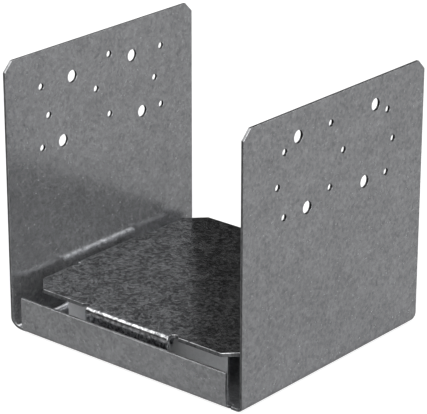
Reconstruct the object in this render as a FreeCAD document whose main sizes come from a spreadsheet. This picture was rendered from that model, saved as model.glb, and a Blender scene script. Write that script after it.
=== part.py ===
import FreeCAD, Part
import Sketcher
import math
import os

# Timber post base: a galvanised steel standoff base for a square post.
# Three folded sheets, each one body:
#   post_strap       base, two tall side walls and two short end lips
#   standoff_plate   raised plate with a turned-down tab on each side
#   support_channel  inverted U that carries the plate above the base
# X runs across the post from wall to wall, Y runs front (-) to back (+),
# Z is up. The origin is the centre of the underside of the base.

doc = FreeCAD.newDocument("timber_post_base")

# ---------------------------------------------------------------- dimensions

sheet = doc.addObject("Spreadsheet::Sheet", "Dims")

CELLS = [
    # alias, value in mm, what it is
    ("strap_gauge", 2.0, "strap sheet thickness"),
    ("inside_width", 190.5, "clear width between the walls"),
    ("wall_depth", 177.8, "front to back length of a wall"),
    ("wall_height", 181.2, "top edge of the walls above the underside"),
    ("bend_inner", 5.0, "inside radius of every strap bend"),
    ("wall_crop", 6.5, "45 degree crop of the upper wall corners"),
    ("lip_half", 85.7, "half the width of an end lip"),
    ("lip_height", 25.4, "top edge of an end lip above the underside"),
    ("relief_edge", 86.5, "base edge beside a lip, from the middle"),
    ("relief_round", 2.4, "radius where the base edge runs out to the wall"),
    ("relief_rise", 7.5, "height where the relief meets the wall edge"),
    ("anchor_pitch", 76.2, "spacing of the anchor holes"),
    ("anchor_bore", 17.5, "diameter of an anchor hole"),
    ("nail_bore", 4.6, "diameter of a nail hole"),
    ("screw_bore", 8.3, "diameter of a screw hole"),
    ("top_row", 17.3, "highest hole row below the top edge"),
    ("row_step", 20.64, "vertical step from row to row"),
    ("row_stagger", 6.35, "drop of the outer rows below the inner rows"),
    ("col_inner", 6.35, "nail column beside the middle"),
    ("col_near", 28.575, "nearer screw column"),
    ("col_far", 38.1, "farther screw column"),
    ("col_outer", 50.8, "outer nail column"),
    ("col_edge", 57.15, "outermost nail column"),
    ("plate_gauge", 2.66, "standoff plate sheet thickness"),
    ("plate_top", 31.9, "seat height above the underside"),
    ("plate_half_x", 87.0, "half width of the plate at its unbent edges"),
    ("plate_half_y", 81.6, "half depth of the plate at its unbent edges"),
    ("plate_crop", 12.7, "45 degree crop of the plate corners"),
    ("tab_half", 34.35, "half the width of a tab"),
    ("tab_face_x", 90.7, "outer face of a side tab from the middle"),
    ("tab_face_y", 85.2, "outer face of a front or back tab"),
    ("tab_foot", 2.3, "lower edge of a tab above the underside"),
    ("tab_bend", 3.2, "outside radius of a tab bend"),
    ("notch_centre", 36.9, "relief notch centre along a plate edge"),
    ("notch_round", 2.65, "radius of a relief notch"),
    ("notch_depth", 5.2, "depth of a relief notch below the seat"),
    ("channel_gauge", 2.0, "support channel sheet thickness"),
    ("channel_half_x", 67.0, "half length of the channel"),
    ("channel_face", 66.5, "outer face of a channel leg from the middle"),
    ("channel_bend", 4.5, "outside radius of a channel bend"),
    ("leg_hole_x", 19.5, "leg hole centre from the middle of the channel"),
    ("leg_hole_rise", 20.0, "leg hole centre above the ground"),
    ("leg_hole_bore", 7.5, "bore of a leg hole"),
]

sheet.set("A1", "dimension")
sheet.set("B1", "mm")
sheet.set("C1", "meaning")
for row, (alias, value, meaning) in enumerate(CELLS, start=2):
    sheet.set("A%d" % row, alias)
    sheet.set("B%d" % row, str(value))
    sheet.set("C%d" % row, meaning)
    sheet.setAlias("B%d" % row, alias)
doc.recompute()


class Size:
    """A length with its number and the sheet expression that gives it."""

    def __init__(self, number, text):
        self.number = number
        self.text = text

    def _join(self, other, sign, number):
        return Size(number, "(%s %s %s)" % (self.text, sign, other.text))

    def __add__(self, other):
        other = as_size(other)
        return self._join(other, "+", self.number + other.number)

    def __sub__(self, other):
        other = as_size(other)
        return self._join(other, "-", self.number - other.number)

    def __mul__(self, other):
        other = as_size(other)
        return self._join(other, "*", self.number * other.number)

    def __truediv__(self, other):
        other = as_size(other)
        return self._join(other, "/", self.number / other.number)

    def __neg__(self):
        return Size(-self.number, "(0 - %s)" % self.text)


def as_size(value):
    if isinstance(value, Size):
        return value
    return Size(float(value), repr(float(value)))


def dim(alias):
    return Size(float(sheet.get(alias)), "Dims.%s" % alias)


# ------------------------------------------------------------------- helpers

def origin_plane(body, role):
    for feature in body.Origin.OriginFeatures:
        if feature.Role == role:
            return feature
    raise RuntimeError("no origin plane " + role)


def new_sketch(body, name, role, offset=None):
    """Sketch on one of the body's own origin planes, moved along its normal."""
    sketch = body.newObject("Sketcher::SketchObject", name)
    sketch.AttachmentSupport = [(origin_plane(body, role), "")]
    sketch.MapMode = "FlatFace"
    if offset is not None:
        sketch.AttachmentOffset = FreeCAD.Placement(
            FreeCAD.Vector(0, 0, offset.number), FreeCAD.Rotation())
        sketch.setExpression("AttachmentOffset.Base.z", offset.text)
    return sketch


def bind(sketch, constraint, size):
    index = sketch.addConstraint(constraint)
    sketch.setExpression("Constraints[%d]" % index, size.text)
    return index


def pin_point(sketch, geo, pos, x, y):
    bind(sketch, Sketcher.Constraint("DistanceX", -1, 1, geo, pos, x.number), x)
    bind(sketch, Sketcher.Constraint("DistanceY", -1, 1, geo, pos, y.number), y)


def arc_between(p, q, radius, turn):
    """Arc of a circle from p to q. turn +1 runs counterclockwise, -1 clockwise."""
    mid = (p + q) * 0.5
    chord = q - p
    half = chord.Length / 2.0
    rise = math.sqrt(max(radius * radius - half * half, 0.0))
    left = FreeCAD.Vector(-chord.y, chord.x, 0).normalize()
    centre = mid + left * (rise * turn)
    circle = Part.Circle(centre, FreeCAD.Vector(0, 0, 1), radius)
    first, last = (p, q) if turn > 0 else (q, p)
    a0 = math.atan2(first.y - centre.y, first.x - centre.x)
    a1 = math.atan2(last.y - centre.y, last.x - centre.x)
    if a1 < a0:
        a1 += 2 * math.pi
    return Part.ArcOfCircle(circle, a0, a1)


def closed_loop(sketch, corners):
    """Closed outline of lines and arcs. Each corner is (x, y) or
    (x, y, radius, turn), where the last two bend the edge that leaves it."""
    count = len(corners)
    points = [FreeCAD.Vector(c[0].number, c[1].number, 0) for c in corners]
    ends = []
    for i, corner in enumerate(corners):
        p, q = points[i], points[(i + 1) % count]
        if len(corner) == 4:
            radius, turn = corner[2], corner[3]
            geo = sketch.addGeometry(
                arc_between(p, q, radius.number, turn), False)
            bind(sketch, Sketcher.Constraint(
                "Radius", geo, radius.number), radius)
            ends.append((geo, 1, 2) if turn > 0 else (geo, 2, 1))
        else:
            geo = sketch.addGeometry(Part.LineSegment(p, q), False)
            ends.append((geo, 1, 2))
    for i in range(count):
        geo, start, _ = ends[i]
        before, _, finish = ends[i - 1]
        sketch.addConstraint(Sketcher.Constraint(
            "Coincident", before, finish, geo, start))
        pin_point(sketch, geo, start, corners[i][0], corners[i][1])


def circles(sketch, centres, bore):
    """Round holes of one diameter."""
    lead = None
    for x, y in centres:
        geo = sketch.addGeometry(Part.Circle(
            FreeCAD.Vector(x.number, y.number, 0),
            FreeCAD.Vector(0, 0, 1), bore.number / 2.0), False)
        if lead is None:
            lead = geo
            bind(sketch, Sketcher.Constraint(
                "Diameter", geo, bore.number), bore)
        else:
            sketch.addConstraint(Sketcher.Constraint("Equal", lead, geo))
        pin_point(sketch, geo, 3, x, y)


def pad(body, sketch, name, length, centred=True):
    feature = body.newObject("PartDesign::Pad", name)
    feature.Profile = sketch
    feature.Type = "Length"
    feature.Length = length.number
    feature.setExpression("Length", length.text)
    if centred:
        feature.SideType = "Symmetric"
    body.Tip = feature
    doc.recompute()
    return feature


def pocket(body, sketch, name, length, reverse):
    """Cut that must take material away."""
    before = body.Shape.Volume
    feature = body.newObject("PartDesign::Pocket", name)
    feature.Profile = sketch
    feature.Type = "Length"
    feature.Length = length.number
    feature.setExpression("Length", length.text)
    feature.Reversed = reverse
    body.Tip = feature
    doc.recompute()
    if not body.Shape.Volume < before - 1.0:
        raise RuntimeError(name + " cut nothing")
    return feature


def new_body(name):
    body = doc.addObject("PartDesign::Body", name)
    body.Label = name
    body.Placement = FreeCAD.Placement(
        FreeCAD.Vector(0, 0, 0), FreeCAD.Rotation())
    return body


# ---------------------------------------------------------------- post strap

gauge = dim("strap_gauge")
inner = dim("bend_inner")
outer = inner + gauge
half_in = dim("inside_width") / 2
half_out = half_in + gauge
height = dim("wall_height")
half_deep = dim("wall_depth") / 2

strap = new_body("post_strap")

# walls and base in one folded section, run from front to back
walls_sketch = new_sketch(strap, "walls_section", "XZ_Plane")
zero_ish = gauge - gauge
closed_loop(walls_sketch, [
    (-(half_out - outer), zero_ish),
    (half_out - outer, zero_ish, outer, 1),
    (half_out, outer),
    (half_out, height),
    (half_in, height),
    (half_in, outer, inner, -1),
    (half_in - inner, gauge),
    (-(half_in - inner), gauge, inner, -1),
    (-half_in, outer),
    (-half_in, height),
    (-half_out, height),
    (-half_out, outer, outer, 1),
])
walls = pad(strap, walls_sketch, "walls", dim("wall_depth"))

# upper corners of both walls are cropped at 45 degrees
corner_edges = []
for number, edge in enumerate(walls.Shape.Edges, start=1):
    box = edge.BoundBox
    if (abs(box.ZMin - height.number) < 1e-4 and abs(box.ZMax - height.number) < 1e-4
            and box.YLength < 1e-4
            and abs(abs(box.Center.y) - half_deep.number) < 1e-4
            and abs(box.XLength - gauge.number) < 1e-4):
        corner_edges.append("Edge%d" % number)
if len(corner_edges) != 4:
    raise RuntimeError("wall corners not found")
crop = strap.newObject("PartDesign::Chamfer", "wall_crops")
crop.Base = (walls, corner_edges)
crop.ChamferType = "Equal distance"
crop.Size = dim("wall_crop").number
crop.setExpression("Size", dim("wall_crop").text)
strap.Tip = crop
doc.recompute()

# base is cut back at both ends for the lips, with a short relief beside
# each lip that runs out to the wall edge on a radius
lip_half = dim("lip_half")
lip_out = half_deep + gauge
bend_line = lip_out - outer
relief = dim("relief_edge")
relief_r = dim("relief_round")
turn_x = half_in - relief_r
past = half_deep + 3
relief_sketch = new_sketch(strap, "end_reliefs_outline", "XY_Plane")
for side in (1, -1):
    if side > 0:
        closed_loop(relief_sketch, [
            (-lip_half, bend_line),
            (lip_half, bend_line),
            (lip_half, relief),
            (turn_x, relief, relief_r, 1),
            (half_in, relief + relief_r),
            (half_in, past),
            (-half_in, past),
            (-half_in, relief + relief_r, relief_r, 1),
            (-turn_x, relief),
            (-lip_half, relief),
        ])
    else:
        closed_loop(relief_sketch, [
            (lip_half, -bend_line),
            (-lip_half, -bend_line),
            (-lip_half, -relief),
            (-turn_x, -relief, relief_r, 1),
            (-half_in, -(relief + relief_r)),
            (-half_in, -past),
            (half_in, -past),
            (half_in, -(relief + relief_r), relief_r, 1),
            (turn_x, -relief),
            (lip_half, -relief),
        ])
pocket(strap, relief_sketch, "end_reliefs", outer + 1, True)

# the relief runs up the outside of each wall bend until it meets the wall edge
rise = dim("relief_rise")
runout_sketch = new_sketch(strap, "relief_runouts_outline", "YZ_Plane")
for side in (1, -1):
    loop = [
        (relief * side, zero_ish - 1),
        (past * side, zero_ish - 1),
        (past * side, rise),
        (half_deep * side, rise),
        (relief * side, zero_ish),
    ]
    closed_loop(runout_sketch, loop if side > 0 else loop[::-1])
runouts = pocket(strap, runout_sketch, "relief_runouts", half_out * 2 + 2, True)
runouts.SideType = "Symmetric"
doc.recompute()

# lips at the front and the back, bent up from the base
lips_sketch = new_sketch(strap, "lips_section", "YZ_Plane")
lip_top = dim("lip_height")
closed_loop(lips_sketch, [
    (-bend_line, zero_ish),
    (bend_line, zero_ish, outer, 1),
    (lip_out, outer),
    (lip_out, lip_top),
    (half_deep, lip_top),
    (half_deep, outer, inner, -1),
    (bend_line, gauge),
    (-bend_line, gauge, inner, -1),
    (-half_deep, outer),
    (-half_deep, lip_top),
    (-lip_out, lip_top),
    (-lip_out, outer, outer, 1),
])
pad(strap, lips_sketch, "lips", lip_half * 2)

# anchor holes in the base
anchor_sketch = new_sketch(strap, "anchor_layout", "XY_Plane")
anchor_x = dim("anchor_pitch") / 2
circles(anchor_sketch, [(-anchor_x, zero_ish), (anchor_x, zero_ish)],
        dim("anchor_bore"))
pocket(strap, anchor_sketch, "anchor_holes", gauge * 2, True)

# fastener holes: three inner rows and three outer rows on each wall,
# staggered from one wall to the other so that fasteners miss each other
row_a0 = height - dim("top_row")
row_a1 = row_a0 - dim("row_step")
row_a2 = row_a1 - dim("row_step")
row_b0 = row_a0 - dim("row_stagger")
row_b1 = row_b0 - dim("row_step")
row_b2 = row_b1 - dim("row_step")
col_a = dim("col_inner")
col_b = dim("col_near")
col_c = dim("col_far")
col_e = dim("col_outer")
col_f = dim("col_edge")

LEFT_NAILS = [
    (-col_f, row_b0), (-col_e, row_b1), (-col_f, row_b2),
    (-col_a, row_a1), (col_a, row_a0), (col_a, row_a2),
    (col_e, row_b1), (col_f, row_b0), (col_f, row_b2),
]
LEFT_SCREWS = [
    (-col_b, row_b0), (col_b, row_b0), (-col_c, row_b2), (col_c, row_b2),
]
RIGHT_NAILS = [
    (-col_e, row_b0), (-col_f, row_b1), (-col_e, row_b2),
    (-col_a, row_a0), (col_a, row_a1), (-col_a, row_a2),
    (col_e, row_b0), (col_f, row_b1), (col_e, row_b2),
]
RIGHT_SCREWS = [
    (-col_c, row_a0), (col_c, row_a0), (-col_b, row_b2), (col_b, row_b2),
]

for wall, offset, reverse, nails, screws in (
        ("left", -half_out, True, LEFT_NAILS, LEFT_SCREWS),
        ("right", half_out, False, RIGHT_NAILS, RIGHT_SCREWS)):
    nail_sketch = new_sketch(strap, wall + "_nail_layout", "YZ_Plane", offset)
    circles(nail_sketch, nails, dim("nail_bore"))
    pocket(strap, nail_sketch, wall + "_nail_holes", gauge * 2, reverse)
    screw_sketch = new_sketch(strap, wall + "_screw_layout", "YZ_Plane", offset)
    circles(screw_sketch, screws, dim("screw_bore"))
    pocket(strap, screw_sketch, wall + "_screw_holes", gauge * 2, reverse)

# ------------------------------------------------------------ standoff plate

plate = new_body("standoff_plate")
plate_t = dim("plate_gauge")
seat = dim("plate_top")
under = seat - plate_t
edge_x = dim("plate_half_x")
edge_y = dim("plate_half_y")
crop_p = dim("plate_crop")
tab = dim("tab_half")
tab_x = dim("tab_face_x")
tab_y = dim("tab_face_y")
tab_out = dim("tab_bend")
tab_in = tab_out - plate_t
foot = dim("tab_foot")
bend_x = tab_x - tab_out
bend_y = tab_y - tab_out

# flat of the plate, stepped back to the bend line where each tab starts
flat_sketch = new_sketch(plate, "flat_outline", "XY_Plane", under)
closed_loop(flat_sketch, [
    (-(edge_x - crop_p), -edge_y),
    (-tab, -edge_y),
    (-tab, -bend_y),
    (tab, -bend_y),
    (tab, -edge_y),
    (edge_x - crop_p, -edge_y),
    (edge_x, -(edge_y - crop_p)),
    (edge_x, -tab),
    (bend_x, -tab),
    (bend_x, tab),
    (edge_x, tab),
    (edge_x, edge_y - crop_p),
    (edge_x - crop_p, edge_y),
    (tab, edge_y),
    (tab, bend_y),
    (-tab, bend_y),
    (-tab, edge_y),
    (-(edge_x - crop_p), edge_y),
    (-edge_x, edge_y - crop_p),
    (-edge_x, tab),
    (-bend_x, tab),
    (-bend_x, -tab),
    (-edge_x, -tab),
    (-edge_x, -(edge_y - crop_p)),
])
pad(plate, flat_sketch, "flat", plate_t, centred=False)


def tab_section(sketch, face, bend_at):
    """Seat with a tab turned down at each end."""
    closed_loop(sketch, [
        (-(face - plate_t), foot),
        (-(face - plate_t), seat - tab_out, tab_in, -1),
        (-bend_at, under),
        (bend_at, under, tab_in, -1),
        (face - plate_t, seat - tab_out),
        (face - plate_t, foot),
        (face, foot),
        (face, seat - tab_out, tab_out, 1),
        (bend_at, seat),
        (-bend_at, seat, tab_out, 1),
        (-face, seat - tab_out),
        (-face, foot),
    ])


end_sketch = new_sketch(plate, "end_tabs_section", "YZ_Plane")
tab_section(end_sketch, tab_y, bend_y)
pad(plate, end_sketch, "end_tabs", tab * 2)
side_sketch = new_sketch(plate, "side_tabs_section", "XZ_Plane")
tab_section(side_sketch, tab_x, bend_x)
pad(plate, side_sketch, "side_tabs", tab * 2)

# round bend reliefs beside every tab
notch = dim("notch_centre")
notch_sketch = new_sketch(plate, "notch_layout", "XY_Plane", seat + 1)
circles(notch_sketch, [
    (-notch, -edge_y), (notch, -edge_y), (-notch, edge_y), (notch, edge_y),
    (-edge_x, -notch), (-edge_x, notch), (edge_x, -notch), (edge_x, notch),
], dim("notch_round") * 2)
pocket(plate, notch_sketch, "notches", dim("notch_depth") + 1, False)

# ----------------------------------------------------------- support channel

channel = new_body("support_channel")
ch_t = dim("channel_gauge")
ch_out = dim("channel_bend")
ch_in = ch_out - ch_t
ch_face = dim("channel_face")
section = new_sketch(channel, "channel_section", "YZ_Plane")
closed_loop(section, [
    (-(ch_face - ch_t), gauge),
    (-(ch_face - ch_t), under - ch_out, ch_in, -1),
    (-(ch_face - ch_out), under - ch_t),
    (ch_face - ch_out, under - ch_t, ch_in, -1),
    (ch_face - ch_t, under - ch_out),
    (ch_face - ch_t, gauge),
    (ch_face, gauge),
    (ch_face, under - ch_out, ch_out, 1),
    (ch_face - ch_out, under),
    (-(ch_face - ch_out), under, ch_out, 1),
    (-ch_face, under - ch_out),
    (-ch_face, gauge),
])
pad(channel, section, "channel", dim("channel_half_x") * 2)

# a pair of round holes through each leg
leg_sketch = new_sketch(channel, "leg_hole_layout", "XZ_Plane")
leg_x = dim("leg_hole_x")
circles(leg_sketch, [(-leg_x, dim("leg_hole_rise")), (leg_x, dim("leg_hole_rise"))],
        dim("leg_hole_bore"))
leg_cut = pocket(channel, leg_sketch, "leg_holes", ch_face * 2 + 2, True)
leg_cut.SideType = "Symmetric"
doc.recompute()

# --------------------------------------------------------- check and export

doc.recompute()
for obj in doc.Objects:
    if "Invalid" in obj.State or "Error" in obj.State:
        raise RuntimeError("%s failed: %s" % (obj.Name, obj.State))

bodies = [strap, plate, channel]
for body in bodies:
    shape = body.Shape
    if shape.isNull() or not shape.isValid() or len(shape.Solids) != 1:
        raise RuntimeError(body.Label + " has no single valid solid")

os.makedirs("parts", exist_ok=True)
for body in bodies:
    body.Shape.exportStep(os.path.join("parts", body.Label + ".step"))
    box = body.Shape.BoundBox
    print("%-16s volume %.0f mm3  X %.2f..%.2f  Y %.2f..%.2f  Z %.2f..%.2f" % (
        body.Label, body.Shape.Volume, box.XMin, box.XMax,
        box.YMin, box.YMax, box.ZMin, box.ZMax))
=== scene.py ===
import math

import bpy
import mathutils
import numpy as np
from mathutils import Matrix, Vector


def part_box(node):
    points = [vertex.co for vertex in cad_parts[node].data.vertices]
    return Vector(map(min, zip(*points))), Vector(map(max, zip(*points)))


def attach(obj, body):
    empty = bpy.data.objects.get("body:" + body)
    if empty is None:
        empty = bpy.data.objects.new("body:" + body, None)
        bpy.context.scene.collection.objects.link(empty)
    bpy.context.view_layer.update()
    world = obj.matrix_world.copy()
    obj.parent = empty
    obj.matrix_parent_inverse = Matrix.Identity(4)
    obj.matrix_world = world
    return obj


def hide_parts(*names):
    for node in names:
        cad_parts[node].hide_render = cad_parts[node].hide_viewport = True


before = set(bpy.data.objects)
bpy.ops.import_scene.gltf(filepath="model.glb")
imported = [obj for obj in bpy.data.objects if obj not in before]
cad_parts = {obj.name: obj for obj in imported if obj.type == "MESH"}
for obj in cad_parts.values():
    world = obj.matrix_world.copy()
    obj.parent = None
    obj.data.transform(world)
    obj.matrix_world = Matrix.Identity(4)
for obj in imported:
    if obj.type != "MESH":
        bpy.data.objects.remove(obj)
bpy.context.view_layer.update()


# ---------------------------------------------------------------- node tools

def add(tree, kind, **settings):
    node = tree.nodes.new(kind)
    for key, value in settings.items():
        setattr(node, key, value)
    return node


def feed(tree, socket, value):
    """Links an output socket, or sets a plain number or colour."""
    if isinstance(value, bpy.types.NodeSocket):
        tree.links.new(value, socket)
    else:
        socket.default_value = value


def math_node(tree, operation, a, b=0.0, clamp=False):
    node = add(tree, "ShaderNodeMath", operation=operation, use_clamp=clamp)
    feed(tree, node.inputs[0], a)
    feed(tree, node.inputs[1], b)
    return node.outputs[0]


def remap(tree, value, low, high, to_low, to_high, smooth=False):
    node = add(tree, "ShaderNodeMapRange", clamp=True)
    if smooth:
        node.interpolation_type = "SMOOTHSTEP"
    feed(tree, node.inputs["Value"], value)
    node.inputs["From Min"].default_value = low
    node.inputs["From Max"].default_value = high
    node.inputs["To Min"].default_value = to_low
    node.inputs["To Max"].default_value = to_high
    return node.outputs["Result"]


def grey_mix(tree, factor, dark, light):
    node = add(tree, "ShaderNodeMix", data_type="RGBA")
    feed(tree, node.inputs["Factor"], factor)
    node.inputs["A"].default_value = (*dark, 1.0)
    node.inputs["B"].default_value = (*light, 1.0)
    return node.outputs["Result"]


# ------------------------------------------------------------------ material

def galvanised(name, dark, light, rough_low, rough_high, seed, metal=0.85, relief=1.0,
               spread=0.40, edge=False):
    """Zinc coated sheet: a fine spangle one to two millimetres across, cloudy
    patches, and a fine tooth that breaks up the sheen. A cut edge is duller,
    with the short vertical scores that the shear leaves."""
    mat = bpy.data.materials.new(name)
    mat.use_nodes = True
    tree = mat.node_tree
    tree.nodes.clear()
    out = add(tree, "ShaderNodeOutputMaterial")
    shader = add(tree, "ShaderNodeBsdfPrincipled")
    tree.links.new(shader.outputs["BSDF"], out.inputs["Surface"])
    shader.inputs["Metallic"].default_value = metal

    place = add(tree, "ShaderNodeTexCoord").outputs["Object"]
    moved = add(tree, "ShaderNodeMapping", vector_type="POINT")
    tree.links.new(place, moved.inputs["Vector"])
    moved.inputs["Location"].default_value = (seed, seed * 0.7, -seed)
    if edge:
        moved.inputs["Scale"].default_value = (1.6, 1.6, 0.7)
    at = moved.outputs["Vector"]

    # spangle: crystals of zinc, each a little lighter or darker
    warp = add(tree, "ShaderNodeTexNoise", noise_dimensions="3D")
    tree.links.new(at, warp.inputs["Vector"])
    warp.inputs["Scale"].default_value = 900.0
    warp.inputs["Detail"].default_value = 2.0
    bent = add(tree, "ShaderNodeVectorMath", operation="MULTIPLY_ADD")
    tree.links.new(warp.outputs["Color"], bent.inputs[0])
    bent.inputs[1].default_value = (0.0008, 0.0008, 0.0008)
    tree.links.new(at, bent.inputs[2])
    crystals = add(tree, "ShaderNodeTexVoronoi", feature="F1")
    tree.links.new(bent.outputs[0], crystals.inputs["Vector"])
    crystals.inputs["Scale"].default_value = 560.0
    each = add(tree, "ShaderNodeSeparateColor")
    tree.links.new(crystals.outputs["Color"], each.inputs[0])
    flake = each.outputs[0]

    feather = add(tree, "ShaderNodeTexNoise", noise_dimensions="3D")
    tree.links.new(at, feather.inputs["Vector"])
    feather.inputs["Scale"].default_value = 430.0
    feather.inputs["Detail"].default_value = 4.0
    feather.inputs["Roughness"].default_value = 0.6
    feather.inputs["Distortion"].default_value = 0.4

    blotch = add(tree, "ShaderNodeTexNoise", noise_dimensions="3D")
    tree.links.new(bent.outputs[0], blotch.inputs["Vector"])
    blotch.inputs["Scale"].default_value = 190.0
    blotch.inputs["Detail"].default_value = 2.0
    blotch.inputs["Distortion"].default_value = 0.8

    cloud = add(tree, "ShaderNodeTexNoise", noise_dimensions="3D")
    tree.links.new(at, cloud.inputs["Vector"])
    cloud.inputs["Scale"].default_value = 60.0
    cloud.inputs["Detail"].default_value = 3.0

    a = math_node(tree, "MULTIPLY", flake, 0.36)
    b = math_node(tree, "MULTIPLY", feather.outputs["Fac"], 0.8)
    c = math_node(tree, "MULTIPLY", cloud.outputs["Fac"], 0.34)
    d = math_node(tree, "MULTIPLY", blotch.outputs["Fac"], 0.6)
    tone = math_node(tree, "ADD", math_node(tree, "ADD", a, b),
                     math_node(tree, "ADD", c, d))
    tone = remap(tree, tone, 1.05 - spread, 1.05 + spread, 0.0, 1.0)

    tree.links.new(grey_mix(tree, tone, dark, light), shader.inputs["Base Color"])

    rough = math_node(tree, "ADD",
                      math_node(tree, "MULTIPLY", each.outputs[1], 0.55),
                      math_node(tree, "MULTIPLY", feather.outputs["Fac"], 0.45))
    tree.links.new(remap(tree, rough, 0.15, 0.85, rough_low, rough_high),
                   shader.inputs["Roughness"])

    # relief: low swells between the crystals and a fine tooth
    tooth = add(tree, "ShaderNodeTexNoise", noise_dimensions="3D")
    tree.links.new(at, tooth.inputs["Vector"])
    tooth.inputs["Scale"].default_value = 1500.0
    tooth.inputs["Detail"].default_value = 3.0
    height = math_node(tree, "ADD",
                       math_node(tree, "MULTIPLY", feather.outputs["Fac"], 1.0),
                       math_node(tree, "MULTIPLY", tooth.outputs["Fac"], 0.05))
    height = math_node(tree, "ADD", height, math_node(tree, "MULTIPLY", flake, 0.06))
    bump = add(tree, "ShaderNodeBump")
    bump.inputs["Strength"].default_value = 0.5
    bump.inputs["Distance"].default_value = 0.00006 * relief
    tree.links.new(height, bump.inputs["Height"])
    tree.links.new(bump.outputs["Normal"], shader.inputs["Normal"])
    return mat


strap_zinc = galvanised("strap_zinc_coat", (0.48, 0.486, 0.502), (0.93, 0.940, 0.962),
                        0.17, 0.28, 0.31, metal=0.87)
plate_zinc = galvanised("plate_zinc_coat", (0.26, 0.264, 0.272), (0.97, 0.975, 0.985),
                        0.17, 0.27, 1.73, metal=1.0, relief=2.0, spread=0.19)
# Channel coat: pale and mostly matte, so that the channel's front face, which sits in shade
# under the plate's edge, comes out bright: painted light.
channel_zinc = galvanised("channel_coat_painted_light", (0.84, 0.844, 0.855), (0.96, 0.965, 0.975),
                          0.34, 0.46, 2.57, metal=0.30, relief=0.8)
# The plate's side cut edges: pale and matte, so that they glow in the walls' reflections just
# above the plate: painted light.
side_edge_painted_light = galvanised("plate_side_edge_painted_light", (0.80, 0.804, 0.812), (0.96, 0.965, 0.975),
                       0.30, 0.42, 5.11, metal=0.2, relief=0.8, edge=True)
cut_zinc = galvanised("cut_edge_zinc", (0.16, 0.162, 0.166), (0.56, 0.564, 0.575),
                      0.26, 0.42, 3.19, metal=1.0, relief=1.2, edge=True)
# Hole walls: near black, painted shade inside the punched holes.
bore_painted_shade = galvanised("bore_edge_painted_shade", (0.012, 0.012, 0.013), (0.085, 0.086, 0.089),
                       0.30, 0.45, 4.37, metal=1.0, relief=1.2, edge=True)


# ------------------------------------------------------------- folded sheets
#
# Each sheet is cut flat, as in the shop: an outline with its holes, in
# millimetres, u along X and v along Y. Its edges are eased all round, and
# the blank is then folded along its bend lines.

def left_of(direction):
    return np.array((-direction[1], direction[0]))


def unit(vector):
    return vector / max(np.linalg.norm(vector), 1e-12)


def arc_points(centre, radius, start, end, count):
    """Points on an arc, in degrees, ends included."""
    return [(centre[0] + radius[0] * math.cos(math.radians(a)),
             centre[1] + radius[1] * math.sin(math.radians(a)))
            for a in np.linspace(start, end, count)]


def round_corners(points, radius):
    """Small radius on every sharp corner of an outline."""
    result = []
    count = len(points)
    for i in range(count):
        before = np.array(points[i - 1], float)
        here = np.array(points[i], float)
        after = np.array(points[(i + 1) % count], float)
        a, b = unit(here - before), unit(after - here)
        turn = math.degrees(math.acos(max(-1.0, min(1.0, float(a @ b)))))
        if turn < 16:
            result.append(tuple(here))
            continue
        reach = min(radius * math.tan(math.radians(turn) / 2),
                    0.3 * np.linalg.norm(here - before),
                    0.3 * np.linalg.norm(after - here))
        p, q = here - a * reach, here + b * reach
        steps = max(3, int(turn / 13))
        for k in range(steps + 1):
            s = k / steps
            result.append(tuple((1 - s) ** 2 * p + 2 * s * (1 - s) * here + s * s * q))
    return result


def split_at(points, axis, levels):
    """Adds outline points where it crosses the fold's facets."""
    result = []
    count = len(points)
    for i in range(count):
        p = np.array(points[i], float)
        q = np.array(points[(i + 1) % count], float)
        result.append(tuple(p))
        step = q[axis] - p[axis]
        if abs(step) < 1e-6:
            continue
        cuts = sorted((level - p[axis]) / step for level in levels)
        for s in cuts:
            if 0.02 < s < 0.98 and min(s, 1 - s) * np.linalg.norm(q - p) > 0.05:
                result.append(tuple(p + (q - p) * s))
    return result


def inset_contour(points, amount):
    """Outline moved into the sheet, with the outward direction at each point."""
    pts = np.array(points, float)
    ahead = np.roll(pts, -1, axis=0) - pts
    ahead /= np.maximum(np.linalg.norm(ahead, axis=1, keepdims=True), 1e-9)
    behind = np.roll(ahead, 1, axis=0)
    n1 = np.stack((-behind[:, 1], behind[:, 0]), 1)
    n2 = np.stack((-ahead[:, 1], ahead[:, 0]), 1)
    both = n1 + n2
    miter = both / np.maximum(1 + (n1 * n2).sum(1, keepdims=True), 0.4)
    outward = -both / np.maximum(np.linalg.norm(both, axis=1, keepdims=True), 1e-9)
    return pts + miter * amount, outward


def inside(query, contours):
    """Even-odd test of many points against all outlines."""
    hits = np.zeros(len(query), bool)
    x, y = query[:, 0], query[:, 1]
    for contour in contours:
        c = np.array(contour, float)
        d = np.roll(c, -1, axis=0)
        for (x0, y0), (x1, y1) in zip(c, d):
            if y0 == y1:
                continue
            cross = (y0 > y) != (y1 > y)
            hits ^= cross & (x < (x1 - x0) * (y - y0) / (y1 - y0) + x0)
    return hits


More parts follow.
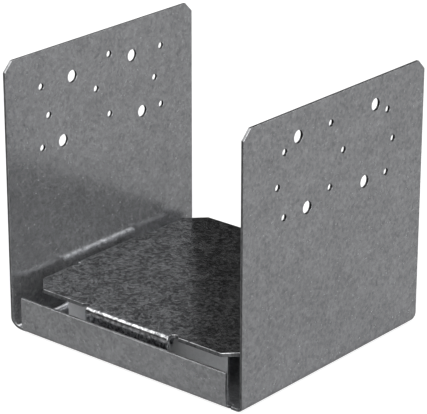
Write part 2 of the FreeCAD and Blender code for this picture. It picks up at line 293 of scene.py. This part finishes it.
def folded_sheet(name, outline, holes, thick, ease, hole_ease, fold, grid, levels,
                 cut_kind=lambda middle: 1):
    """Mesh of a folded sheet. fold maps (u, v, w) and a direction to space;
    grid gives inner points along the bends."""
    contours = [(split_at(split_at(round_corners(outline, 0.7), 0, levels[0]),
                          1, levels[1]), ease)]
    contours += [(hole, hole_ease) for hole in holes]
    half = thick / 2
    arc = [math.radians(a) for a in (90, 60, 30, 0)]
    points, normals, faces = [], [], []
    rim_top, rim_low, flat_edges = [], [], []
    base = 0
    cut = {}
    for number, (contour, (e_top, e_low)) in enumerate(contours):
        rings = []
        for angle in arc:
            rings.append((e_top * (1 - math.cos(angle)), half - e_top * (1 - math.sin(angle)),
                          math.cos(angle), math.sin(angle)))
        for angle in reversed(arc):
            rings.append((e_low * (1 - math.cos(angle)), -half + e_low * (1 - math.sin(angle)),
                          math.cos(angle), -math.sin(angle)))
        n = len(contour)
        for depth, w, out, up_part in rings:
            ring, outward = inset_contour(contour, depth)
            for (u, v), o in zip(ring, outward):
                points.append((u, v, w))
                normals.append((o[0] * out, o[1] * out, up_part))
        for k in range(len(rings) - 1):
            for i in range(n):
                j = (i + 1) % n
                middle = [abs(contour[i][c] + contour[j][c]) / 2 for c in (0, 1)]
                if k == len(arc) - 1:
                    # hole walls take slot 2, the painted shade; outline cut faces take the
                    # slot cut_kind gives
                    cut[len(faces)] = 2 if number > 0 else cut_kind(middle)
                faces.append((base + k * n + i, base + (k + 1) * n + i,
                              base + (k + 1) * n + j, base + k * n + j))
        rim_top.append([base + i for i in range(n)])
        rim_low.append([base + (len(rings) - 1) * n + i for i in range(n)])
        base += len(rings) * n

    for rims, w, flip in ((rim_top, half, False), (rim_low, -half, True)):
        loops = [[points[i][:2] for i in rim] for rim in rims]
        index = [i for rim in rims for i in rim]
        coords = [p for loop in loops for p in loop]
        edges, first = [], 0
        for loop in loops:
            edges += [(first + i, first + (i + 1) % len(loop)) for i in range(len(loop))]
            first += len(loop)
        inner = np.array(grid, float)
        if len(inner):
            keep = inside(inner, loops)
            edge_pts = np.array(coords)
            near = np.array([np.min(np.hypot(*(edge_pts - p).T)) < 0.35 for p in inner])
            inner = inner[keep & ~near]
        for u, v in inner:
            index.append(len(points))
            points.append((u, v, w))
            normals.append((0, 0, -1 if flip else 1))
            coords.append((u, v))
        out = mathutils.geometry.delaunay_2d_cdt(
            [Vector(c) for c in coords], edges, [], 0, 1e-7, True)
        made, tris, origin = out[0], out[2], out[3]
        table = []
        for k, ids in enumerate(origin):
            if not ids:
                raise RuntimeError(name + ": the outline crosses itself")
            table.append(index[ids[0]])
        tris = [t for t in tris]
        centres = np.array([[sum(made[i][0] for i in t) / 3,
                             sum(made[i][1] for i in t) / 3] for t in tris])
        good = inside(centres, loops)
        for t, ok in zip(tris, good):
            if ok:
                tri = [table[i] for i in t]
                a, b, c = (points[i] for i in tri)
                turn = (b[0] - a[0]) * (c[1] - a[1]) - (b[1] - a[1]) * (c[0] - a[0])
                if abs(turn) < 1e-9:
                    continue
                if (turn < 0) != flip:
                    tri.reverse()
                faces.append(tuple(tri))

    placed, turned = [], []
    for (u, v, w), n in zip(points, normals):
        p, d = fold(u, v, w, n)
        placed.append(tuple(c / 1000 for c in p))
        turned.append(tuple(d))
    mesh = bpy.data.meshes.new(name)
    mesh.from_pydata(placed, [], faces)
    mesh.update()
    for polygon in mesh.polygons:
        polygon.use_smooth = True
        polygon.material_index = cut.get(polygon.index, 0)
    mesh.normals_split_custom_set_from_vertices(turned)
    mesh.validate()
    obj = bpy.data.objects.new(name, mesh)
    bpy.context.scene.collection.objects.link(obj)
    return obj


def bend(along, w, n_along, n_w, start, centre_gap, length, sign):
    """Folds one coordinate past a bend line. Returns the new distance
    outwards, the rise, and the turned direction. sign +1 folds up towards
    +w, -1 down away from it. centre_gap is the middle radius."""
    past = along - start
    radius = centre_gap - sign * w
    if past <= 0:
        angle, extra = 0.0, past
        out, rise = start + past, 0.0
    elif past < length:
        angle = past / length * math.pi / 2
        out = start + radius * math.sin(angle)
        rise = radius * (1 - math.cos(angle))
    else:
        angle = math.pi / 2
        out = start + radius
        rise = radius + (past - length)
    s, c = math.sin(angle), math.cos(angle)
    return out, sign * rise, (n_along * c - sign * n_w * s, sign * n_along * s + n_w * c)


def fold_map(base_z, wing_u, wing_v, sign):
    """wing_u and wing_v: (bend line, middle radius, length, half width)."""
    def fold(u, v, w, n):
        if wing_u and abs(u) > wing_u[0] and abs(v) < wing_u[3]:
            side = 1 if u > 0 else -1
            out, rise, (na, nw) = bend(abs(u), w, n[0] * side, n[2],
                                       wing_u[0], wing_u[1], wing_u[2], sign)
            return (out * side, v, base_z + w + rise), (na * side, n[1], nw)
        if wing_v and abs(v) > wing_v[0] and abs(u) < wing_v[3]:
            side = 1 if v > 0 else -1
            out, rise, (na, nw) = bend(abs(v), w, n[1] * side, n[2],
                                       wing_v[0], wing_v[1], wing_v[2], sign)
            return (u, out * side, base_z + w + rise), (n[0], na * side, nw)
        return (u, v, base_z + w), n
    return fold


def facets(start, length, count):
    return [side * (start + length * k / count) for side in (-1, 1)
            for k in range(count + 1)]


def four_ways(quarter):
    """Outline symmetric about both axes, from its part in the first quarter,
    listed counterclockwise."""
    q = [tuple(p) for p in quarter]
    second = [(-x, y) for x, y in reversed(q)]
    third = [(-x, -y) for x, y in q]
    fourth = [(x, -y) for x, y in reversed(q)]
    loop = []
    for p in q + second + third + fourth:
        if not loop or math.hypot(p[0] - loop[-1][0], p[1] - loop[-1][1]) > 1e-6:
            loop.append(p)
    return loop


def ring_hole(u, v, bore):
    """Round hole, run clockwise so that the sheet is on its left."""
    count = 40 if bore < 6 else 56
    return [(u + bore / 2 * math.cos(a), v + bore / 2 * math.sin(a))
            for a in -np.linspace(0, 2 * math.pi, count, endpoint=False)]


def mm(node):
    low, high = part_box(node)
    return [c * 1000 for c in low], [c * 1000 for c in high]


# ---- strap
_, s_hi = mm("post_strap")
GAUGE, INNER = 2.0, 5.0
OUTER = INNER + GAUGE
S_BEND_U = s_hi[0] - OUTER
S_BEND_V = s_hi[1] - OUTER
S_LEN = (INNER + GAUGE / 2) * math.pi / 2
HEIGHT = s_hi[2]
DEEP = s_hi[1] - GAUGE
LIP_HALF, LIP_TOP = 85.7, 25.4
RELIEF = 86.5
top_u = S_BEND_U + S_LEN + HEIGHT - OUTER
lip_v = S_BEND_V + S_LEN + LIP_TOP - OUTER
CROP = 6.5
quarter = [(top_u, DEEP - CROP), (top_u - CROP, DEEP)]
for k in range(16, -1, -1):
    t = k / 16
    ease_in = 0.5 * t * t * (3 - 2 * t) + 0.5 * t ** 1.5
    quarter.append((S_BEND_U + 0.2 + 9.8 * t, RELIEF + (DEEP - RELIEF) * ease_in))
quarter += [(LIP_HALF + 0.35, RELIEF), (LIP_HALF + 0.35, S_BEND_V - 0.4),
            (LIP_HALF, S_BEND_V - 0.4), (LIP_HALF, lip_v)]


def wall_u(z):
    return S_BEND_U + S_LEN + z - OUTER


row_a = [HEIGHT - 17.3 - 20.64 * k for k in range(3)]
row_b = [z - 6.35 for z in row_a]
A, B, C, E, F = 6.35, 28.575, 38.1, 50.8, 57.15
LEFT_NAILS = [(-F, row_b[0]), (-E, row_b[1]), (-F, row_b[2]), (-A, row_a[1]),
              (A, row_a[0]), (A, row_a[2]), (E, row_b[1]), (F, row_b[0]), (F, row_b[2])]
LEFT_SCREWS = [(-B, row_b[0]), (B, row_b[0]), (-C, row_b[2]), (C, row_b[2])]
RIGHT_NAILS = [(-E, row_b[0]), (-F, row_b[1]), (-E, row_b[2]), (-A, row_a[0]),
               (A, row_a[1]), (-A, row_a[2]), (E, row_b[0]), (F, row_b[1]), (E, row_b[2])]
RIGHT_SCREWS = [(-C, row_a[0]), (C, row_a[0]), (-B, row_b[2]), (B, row_b[2])]
strap_holes = [ring_hole(-wall_u(z), y, 4.6) for y, z in LEFT_NAILS]
strap_holes += [ring_hole(-wall_u(z), y, 8.3) for y, z in LEFT_SCREWS]
strap_holes += [ring_hole(wall_u(z), y, 4.6) for y, z in RIGHT_NAILS]
strap_holes += [ring_hole(wall_u(z), y, 8.3) for y, z in RIGHT_SCREWS]
strap_holes += [ring_hole(side * 38.1, 0, 17.5) for side in (-1, 1)]
s_levels = facets(S_BEND_U, S_LEN, 14), facets(S_BEND_V, S_LEN, 14)
rows = np.linspace(-DEEP + 2, DEEP - 2, 30)
s_grid = [(u, v) for u in s_levels[0] for v in rows]
s_grid += [(u, v) for v in s_levels[1] for u in np.linspace(-LIP_HALF + 2, LIP_HALF - 2, 30)]
strap = folded_sheet(
    "strap_sheet", four_ways(quarter), strap_holes, GAUGE, (0.28, 0.28), (0.22, 0.12),
    fold_map(GAUGE / 2,
             (S_BEND_U, INNER + GAUGE / 2, S_LEN, 1e3),
             (S_BEND_V, INNER + GAUGE / 2, S_LEN, LIP_HALF + 0.17), 1),
    s_grid, s_levels)

# ---- standoff plate
p_lo, p_hi = mm("standoff_plate")
P_GAUGE, P_OUT = 2.66, 3.2
P_MID = P_OUT - P_GAUGE / 2
P_LEN = P_MID * math.pi / 2
P_BEND_U, P_BEND_V = p_hi[0] - P_OUT, p_hi[1] - P_OUT
EDGE_U, EDGE_V, P_CROP = 87.0, 81.6, 12.7
TAB, NOTCH, NOTCH_R = 34.35, 36.9, 2.65
drop = p_hi[2] - P_OUT - p_lo[2]
tab_u, tab_v = P_BEND_U + P_LEN + drop, P_BEND_V + P_LEN + drop
quarter = [(tab_u, TAB)]
quarter += arc_points((EDGE_U, NOTCH), (NOTCH_R, NOTCH_R), -106, -250, 15)
quarter += [(EDGE_U, NOTCH + NOTCH_R + 0.6), (EDGE_U, EDGE_V - P_CROP),
            (EDGE_U - P_CROP, EDGE_V), (NOTCH + NOTCH_R + 0.6, EDGE_V)]
quarter += arc_points((NOTCH, EDGE_V), (NOTCH_R, NOTCH_R), -20, -164, 15)
quarter += [(TAB, tab_v)]
p_levels = facets(P_BEND_U, P_LEN, 12), facets(P_BEND_V, P_LEN, 12)
p_grid = [(u, v) for u in p_levels[0] for v in np.linspace(-TAB + 1.5, TAB - 1.5, 16)]
p_grid += [(u, v) for v in p_levels[1] for u in np.linspace(-TAB + 1.5, TAB - 1.5, 16)]
plate = folded_sheet(
    "plate_sheet", four_ways(quarter), [], P_GAUGE, (0.35, 0.3), (0.3, 0.3),
    fold_map(p_hi[2] - P_GAUGE / 2,
             (P_BEND_U, P_MID, P_LEN, TAB + 0.25),
             (P_BEND_V, P_MID, P_LEN, TAB + 0.25), -1),
    p_grid, p_levels,
    # tab edges keep the plate coat, the side edges take slot 3, painted light, the rest the
    # dull cut edge
    cut_kind=lambda middle: 0 if min(middle) < TAB + 0.3 else (
        3 if middle[0] > EDGE_U - 0.2 else 1))

# ---- support channel
c_lo, c_hi = mm("support_channel")
C_GAUGE, C_OUT = 2.0, 4.5
C_MID = C_OUT - C_GAUGE / 2
C_LEN = C_MID * math.pi / 2
C_BEND = c_hi[1] - C_OUT
leg = C_BEND + C_LEN + c_hi[2] - C_OUT - c_lo[2]
c_levels = [], facets(C_BEND, C_LEN, 10)
channel = folded_sheet(
    "channel_sheet", four_ways([(c_hi[0], leg)]),
    [ring_hole(i * 19.5, j * (leg - 20.0 + c_lo[2]), 7.5) for i in (-1, 1) for j in (-1, 1)],
    C_GAUGE, (0.28, 0.28), (0.3, 0.3),
    fold_map(c_hi[2] - C_GAUGE / 2, None, (C_BEND, C_MID, C_LEN, 1e3), -1),
    [(u, v) for v in c_levels[1] for u in np.linspace(-c_hi[0] + 2, c_hi[0] - 2, 20)],
    c_levels)

for piece, material, node, slot in (
        (strap, strap_zinc, "post_strap", "strap_zinc"),
        (plate, plate_zinc, "standoff_plate", "plate_zinc"),
        (channel, channel_zinc, "support_channel", "channel_zinc")):
    # Slots: 0 the coat, 1 the dull cut edge, 2 painted shade in the holes, 3 (plate only)
    # painted light on its side edges.
    piece.data.materials.append(material)
    piece.data.materials.append(cut_zinc)
    piece.data.materials.append(bore_painted_shade)
    if piece is plate:
        piece.data.materials.append(side_edge_painted_light)
    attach(piece, "root")
    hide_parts(node)

# --------------------------------------------------------------------- stage

floor_mesh = bpy.data.meshes.new("floor")
floor_mesh.from_pydata([(-6, -6, 0), (6, -6, 0), (6, 6, 0), (-6, 6, 0)], [],
                       [(0, 1, 2, 3)])
floor = bpy.data.objects.new("floor", floor_mesh)
floor.location.z = -0.0002
bpy.context.scene.collection.objects.link(floor)
floor_mat = bpy.data.materials.new("floor_paper")
floor_mat.use_nodes = True
ft = floor_mat.node_tree
ft.nodes.clear()
f_out = add(ft, "ShaderNodeOutputMaterial")
f_diff = add(ft, "ShaderNodeBsdfDiffuse")
f_place = add(ft, "ShaderNodeSeparateXYZ")
ft.links.new(add(ft, "ShaderNodeTexCoord").outputs["Object"], f_place.inputs[0])
# Floor as reflections see it: darker in front of the strap's front lip (Y below -94 mm),
# painted shade that dims the near floor the lip reflects.
f_painted_shade = grey_mix(ft, remap(ft, f_place.outputs["Y"], -0.094, -0.088, 0.0, 1.0),
                  (0.21, 0.21, 0.21), (0.30, 0.30, 0.30))
ft.links.new(f_painted_shade, f_diff.inputs["Color"])
f_seen = add(ft, "ShaderNodeBsdfDiffuse")
f_seen.inputs["Color"].default_value = (0.35, 0.35, 0.35, 1)
f_glow = add(ft, "ShaderNodeEmission")
f_glow.inputs["Strength"].default_value = 0.86
f_add = add(ft, "ShaderNodeAddShader")
ft.links.new(f_seen.outputs[0], f_add.inputs[0])
ft.links.new(f_glow.outputs[0], f_add.inputs[1])
f_path = add(ft, "ShaderNodeLightPath")
f_mix = add(ft, "ShaderNodeMixShader")
ft.links.new(f_path.outputs["Is Camera Ray"], f_mix.inputs[0])
ft.links.new(f_diff.outputs[0], f_mix.inputs[1])
ft.links.new(f_add.outputs[0], f_mix.inputs[2])
ft.links.new(f_mix.outputs[0], f_out.inputs["Surface"])
floor_mesh.materials.append(floor_mat)

# --------------------------------------------------------------------- light

world = bpy.data.worlds.new("studio")
bpy.context.scene.world = world
world.use_nodes = True
wt = world.node_tree
wt.nodes.clear()
w_out = add(wt, "ShaderNodeOutputWorld")
w_dir = add(wt, "ShaderNodeTexCoord").outputs["Generated"]


def glow(direction, inner, outer, level):
    """A soft round patch of light in the surroundings."""
    dot = add(wt, "ShaderNodeVectorMath", operation="DOT_PRODUCT")
    wt.links.new(w_dir, dot.inputs[0])
    dot.inputs[1].default_value = Vector(direction).normalized()
    return remap(wt, dot.outputs["Value"], math.cos(math.radians(outer)),
                 math.cos(math.radians(inner)), 0.0, level, smooth=True)


total = None
for patch in (
        ((-0.62, -0.30, 0.73), 12, 33, 1.85),   # key, left and high
        ((0.15, 0.58, 0.80), 10, 29, 1.6),      # back and high
        ((0.67, -0.65, 0.36), 20, 58, 2.8),       # front right and low
        ((0.60, 0.71, 0.36), 6, 30, 0.05),      # rim, back right
        ((0.0, 0.0, 1.0), 10, 50, 0.3),         # top
):
    g = glow(*patch)
    total = g if total is None else math_node(wt, "ADD", total, g)
total = math_node(wt, "ADD", total, 0.035)
w_light = add(wt, "ShaderNodeBackground")
wt.links.new(total, w_light.inputs["Strength"])
w_seen = add(wt, "ShaderNodeBackground")
w_seen.inputs["Strength"].default_value = 1.02
w_path = add(wt, "ShaderNodeLightPath")
w_mix = add(wt, "ShaderNodeMixShader")
wt.links.new(w_path.outputs["Is Camera Ray"], w_mix.inputs[0])
wt.links.new(w_light.outputs[0], w_mix.inputs[1])
wt.links.new(w_seen.outputs[0], w_mix.inputs[2])
wt.links.new(w_mix.outputs[0], w_out.inputs["Surface"])

# -------------------------------------------------------------------- camera

AZIMUTH, ELEVATION, ROLL = (math.radians(v) for v in (40.256, 21.575, 0.068))
FOCAL_PX, DISTANCE, SIDE, RISE = 2299.34, 1.49836, -0.000348, 0.077166
back = Vector((math.sin(AZIMUTH) * math.cos(ELEVATION),
               -math.cos(AZIMUTH) * math.cos(ELEVATION), math.sin(ELEVATION)))
right = Vector((math.cos(AZIMUTH), math.sin(AZIMUTH), 0.0))
up = back.cross(right)
right, up = (right * math.cos(ROLL) + up * math.sin(ROLL),
             up * math.cos(ROLL) - right * math.sin(ROLL))
eye = back * DISTANCE + right * SIDE + up * RISE
camera = bpy.data.cameras.new("view")
camera.sensor_fit = "HORIZONTAL"
camera.sensor_width = 36.0
camera.lens = FOCAL_PX * 36.0 / 427.0
camera.clip_start = 0.05
camera.clip_end = 60.0
view = bpy.data.objects.new("view", camera)
view.matrix_world = Matrix((
    (right.x, up.x, back.x, eye.x),
    (right.y, up.y, back.y, eye.y),
    (right.z, up.z, back.z, eye.z),
    (0, 0, 0, 1)))
bpy.context.scene.collection.objects.link(view)
bpy.context.scene.camera = view

bpy.context.scene.view_settings.view_transform = "Standard"
bpy.context.scene.view_settings.look = "None"
